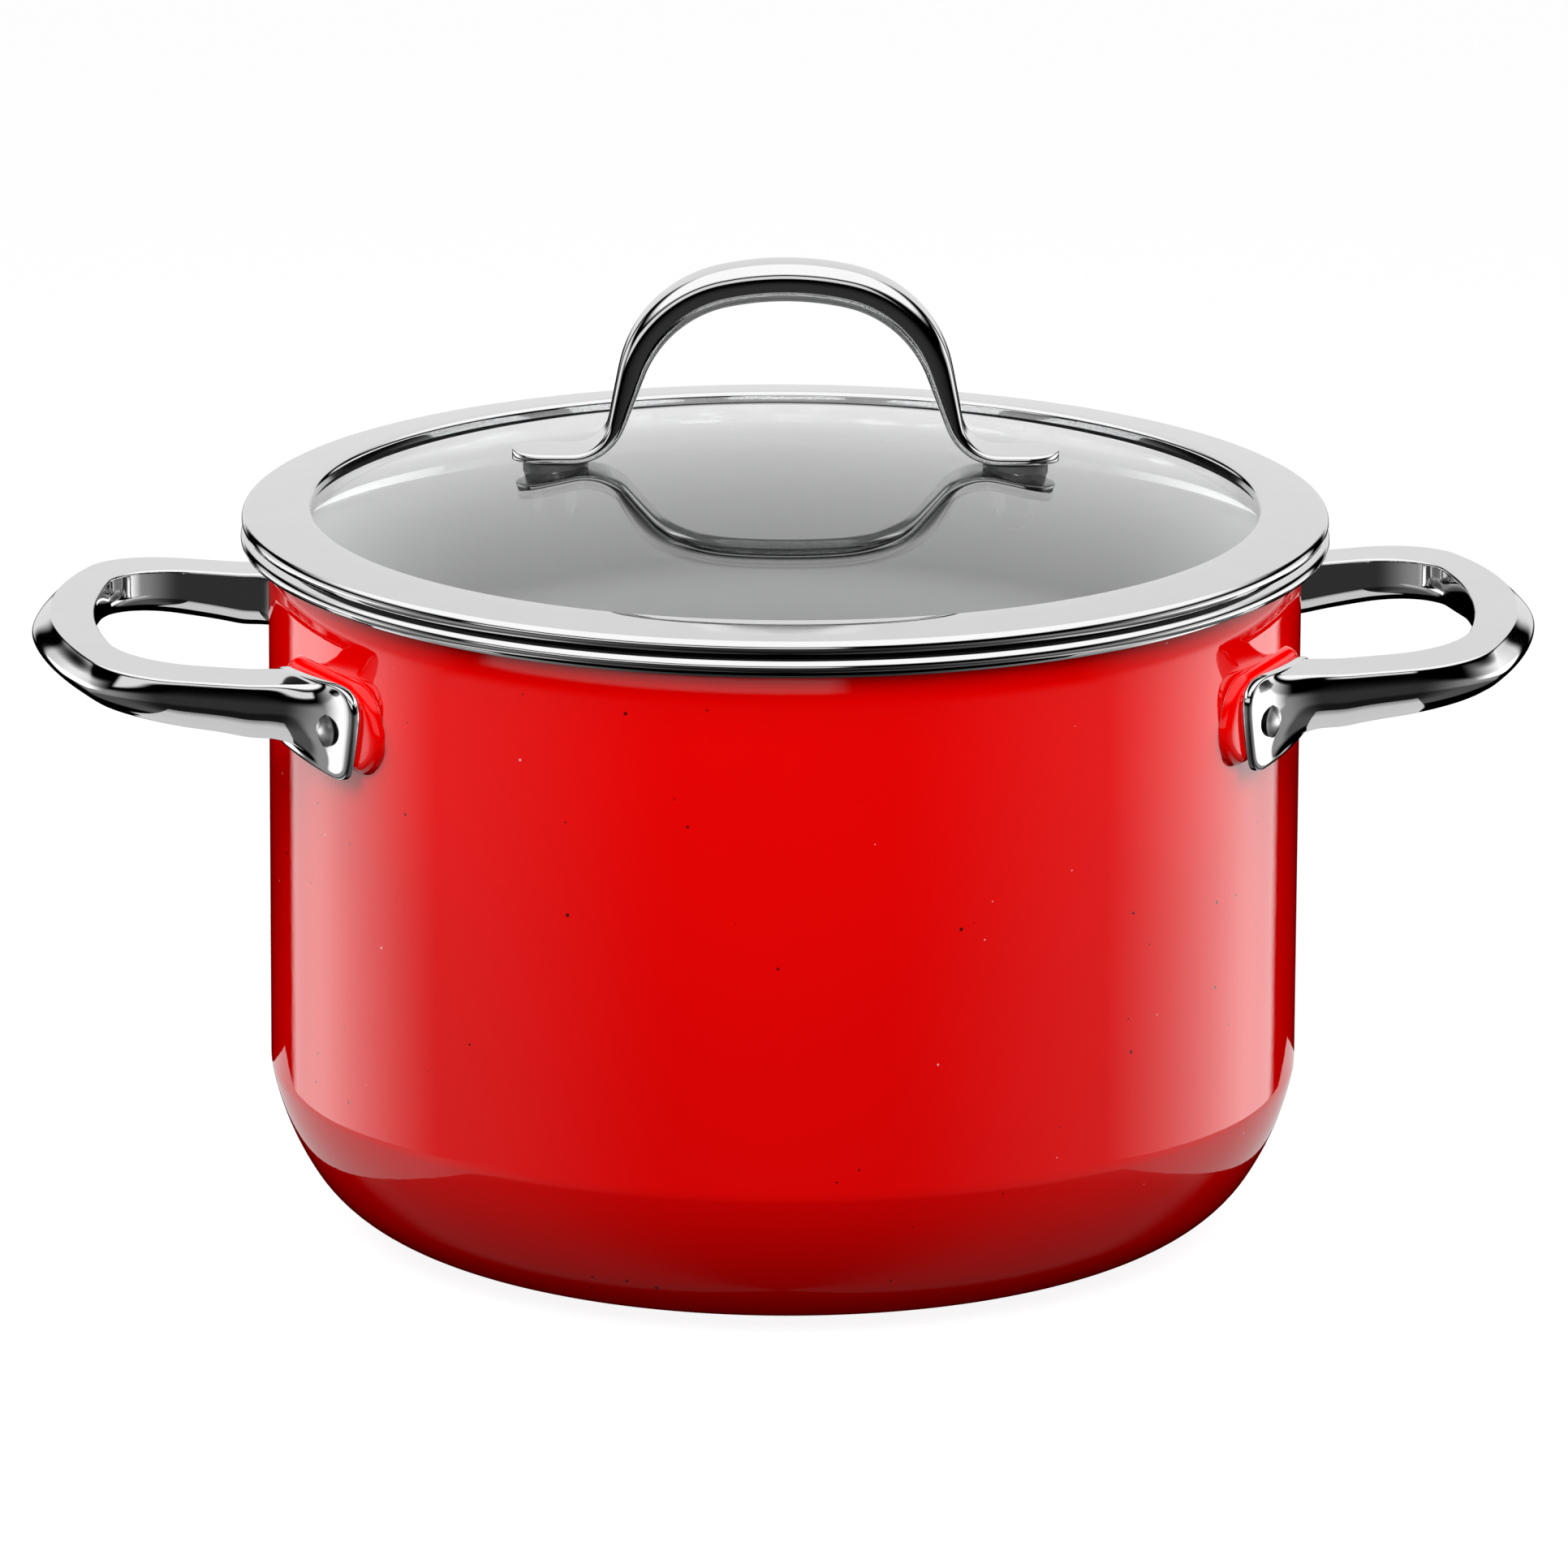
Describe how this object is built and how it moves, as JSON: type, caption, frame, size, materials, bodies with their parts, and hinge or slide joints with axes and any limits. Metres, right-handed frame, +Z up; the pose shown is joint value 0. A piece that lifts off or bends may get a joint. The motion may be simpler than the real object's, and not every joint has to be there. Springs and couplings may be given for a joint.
{
  "type": "stock pot",
  "caption": "Straight-walled enamelled steel pot with a rounded base, riveted loop side handles, a pouring rim and a domed glass lid with a bow handle.",
  "frame": {"origin": "centre of the flat base, on the surface that the pot stands on", "axes": "+X through the two side handles, +Y towards the back, +Z up along the pot's axis, which is also the way the lid lifts"},
  "size_m": [0.3022, 0.218, 0.196],
  "materials": {
    "red_enamel": "glossy vitreous enamel",
    "polished_steel": "polished stainless steel",
    "fastener_steel": "satin stainless steel",
    "lid_glass": "clear tempered glass",
    "silicone": "matt dark silicone",
    "grey_spacer": "satin dark grey"
  },
  "bodies": {
    "pot": {"pot_body": "red_enamel", "pot_rim": "polished_steel", "bracket_right_front": "red_enamel", "bracket_right_back": "red_enamel", "bracket_left_front": "red_enamel", "bracket_left_back": "red_enamel", "handle_right": "polished_steel", "handle_left": "polished_steel", "rivet_right_front": "fastener_steel", "rivet_right_back": "fastener_steel", "rivet_left_front": "fastener_steel", "rivet_left_back": "fastener_steel"},
    "lid": {"lid_glass": "lid_glass", "lid_ring": "polished_steel", "lid_seal": "silicone", "lid_handle": "polished_steel", "lid_spacer_right": "grey_spacer", "lid_spacer_left": "grey_spacer", "lid_stud_right": "fastener_steel", "lid_stud_left": "fastener_steel", "lid_bush_right": "silicone", "lid_bush_left": "silicone", "lid_washer_right": "fastener_steel", "lid_washer_left": "fastener_steel", "lid_nut_right": "fastener_steel", "lid_nut_left": "fastener_steel"}
  },
  "joints": [
    {"name": "lid_lift", "type": "slide", "parent": "pot", "child": "lid", "axis": [0, 0, 1], "range_m": [0, 0.12]}
  ]
}
